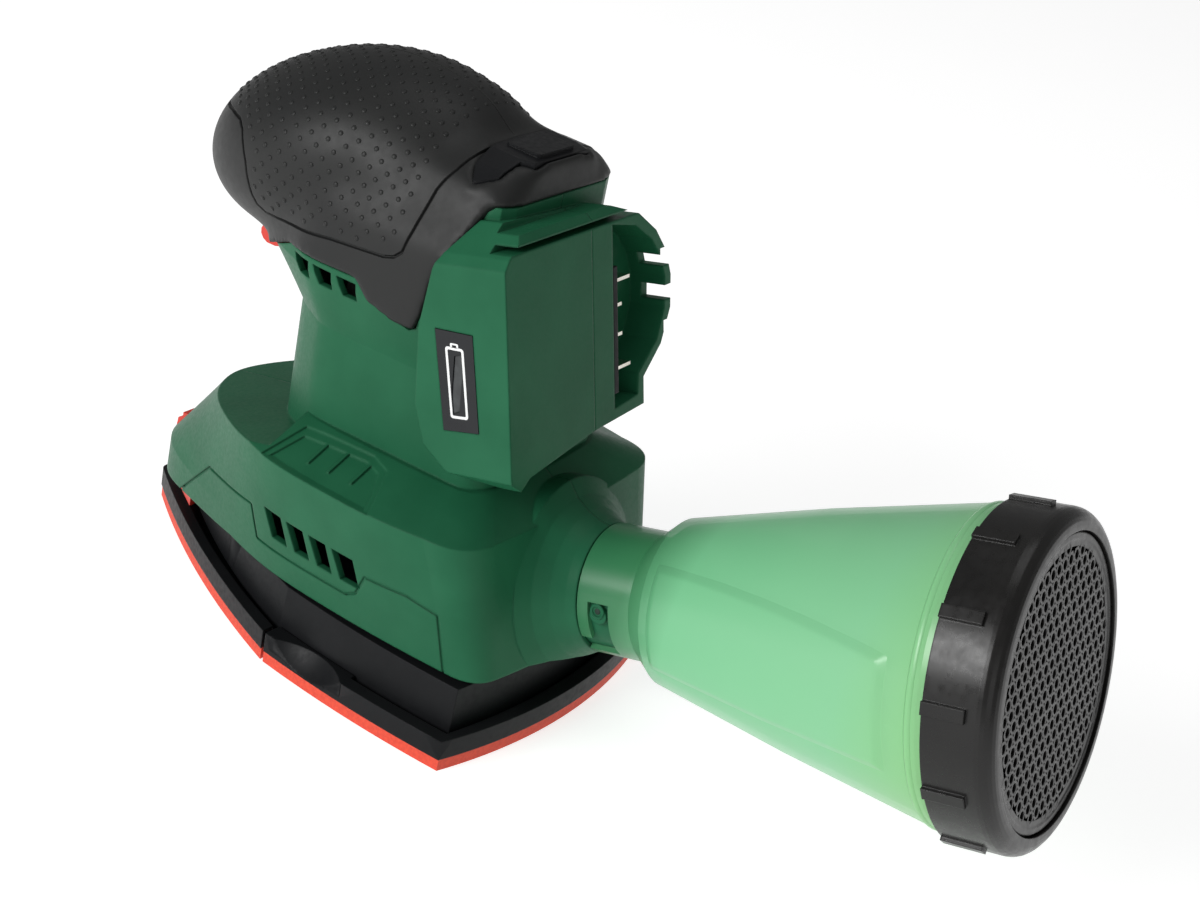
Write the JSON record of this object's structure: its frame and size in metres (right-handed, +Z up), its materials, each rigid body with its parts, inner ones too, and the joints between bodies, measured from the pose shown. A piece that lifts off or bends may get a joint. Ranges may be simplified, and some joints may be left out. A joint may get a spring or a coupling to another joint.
{
  "type": "detail mouse sander",
  "caption": "Cordless palm sander with a pointed orbiting sanding plate, soft domed grip, battery dock and see-through dust box with grille cap.",
  "frame": {"origin": "on the sanding face, on the mid plane, 8.5 mm behind the split between tip and rear plate", "axes": "+X to the tool's left, +Y towards the dust box, +Z up from the sanding face"},
  "size_m": [0.1024, 0.2873, 0.1603],
  "materials": {
    "green_shell": "fine-textured moulded dark green nylon",
    "soft_grip": "soft matt black elastomer",
    "hard_black": "satin black plastic",
    "gloss_black": "gloss black display cover",
    "lamp_lens": "dark lamp strip, unlit",
    "red_plastic": "satin red plastic",
    "red_pad": "red hook-and-loop pad",
    "screw_steel": "zinc-plated steel",
    "bearing_steel": "ground steel",
    "can_steel": "drawn steel",
    "magnet": "sintered ferrite",
    "copper": "enamelled copper wire",
    "cast_weight": "cast zinc counterweight",
    "blade_metal": "plated contact blades",
    "board_green": "circuit board",
    "grey_plastic": "glass-filled dark plastic",
    "post_rubber": "springy black elastomer",
    "clear_green": "see-through light green plastic",
    "filter_paper": "pleated filter fleece"
  },
  "bodies": {
    "housing": {"housing_left": "green_shell", "housing_right": "green_shell", "housing_screws": "screw_steel", "grip_left": "soft_grip", "grip_right": "soft_grip", "top_tile": "hard_black", "charge_panel": "gloss_black", "charge_lamps": "lamp_lens", "switch_body": "hard_black", "terminal_block": "hard_black", "terminal_blades": "blade_metal", "control_board": "board_green", "motor_mount": "grey_plastic", "motor_can": "can_steel", "motor_magnets": "magnet", "motor_end": "hard_black", "upper_bearing": "bearing_steel", "lower_bearing": "bearing_steel", "dust_tube": "green_shell", "swing_posts": "post_rubber"},
    "rotor": {"rotor": "can_steel", "armature_windings": "copper", "fan": "grey_plastic", "eccentric": "cast_weight"},
    "plate": {"plate_bearing": "bearing_steel", "plate_carrier": "hard_black", "rear_plate": "hard_black", "rear_pad": "red_pad", "plate_screws": "screw_steel", "hinge_pins": "screw_steel"},
    "front_tip": {"front_plate": "hard_black", "front_pad": "red_pad"},
    "flex_catch": {"flex_lever": "red_plastic"},
    "switch": {"switch_button": "red_plastic"},
    "dust_box": {"dust_box": "clear_green", "box_seal": "post_rubber"},
    "cap": {"box_cap": "hard_black", "cap_grille": "hard_black", "filter_element": "filter_paper", "filter_frame": "grey_plastic"}
  },
  "joints": [
    {"name": "motor_spin", "type": "hinge", "parent": "housing", "child": "rotor", "pos_m": [0, -0.01, 0.06], "axis": [0, 0, 1], "continuous": true},
    {"name": "plate_orbit", "type": "hinge", "parent": "rotor", "child": "plate", "pos_m": [0, -0.0092, 0.016], "axis": [0, 0, 1], "continuous": true, "deforming": ["swing_posts"]},
    {"name": "front_flex", "type": "hinge", "parent": "plate", "child": "front_tip", "pos_m": [0, -0.0085, 0.0052], "axis": [-1, 0, 0], "range_deg": [0, 1.5], "stiffness_Nm_per_rad": 2},
    {"name": "flex_lock", "type": "slide", "parent": "plate", "child": "flex_catch", "axis": [0, -1, 0], "range_m": [0, 0.003]},
    {"name": "switch_press", "type": "slide", "parent": "housing", "child": "switch", "axis": [0, 0.7193, 0.6947], "range_m": [0, 0.002], "stiffness_N_per_m": 900},
    {"name": "dust_box_twist", "type": "hinge", "parent": "housing", "child": "dust_box", "pos_m": [0, 0.0673, 0.0419], "axis": [0, -0.9673, -0.2538], "range_deg": [0, 36]},
    {"name": "cap_twist", "type": "hinge", "parent": "dust_box", "child": "cap", "pos_m": [0, 0.0673, 0.0419], "axis": [0, 0.9673, 0.2538], "range_deg": [0, 25]}
  ],
  "couplings": [
    {"joint": "plate_orbit", "follows": "motor_spin", "ratio": -1}
  ]
}
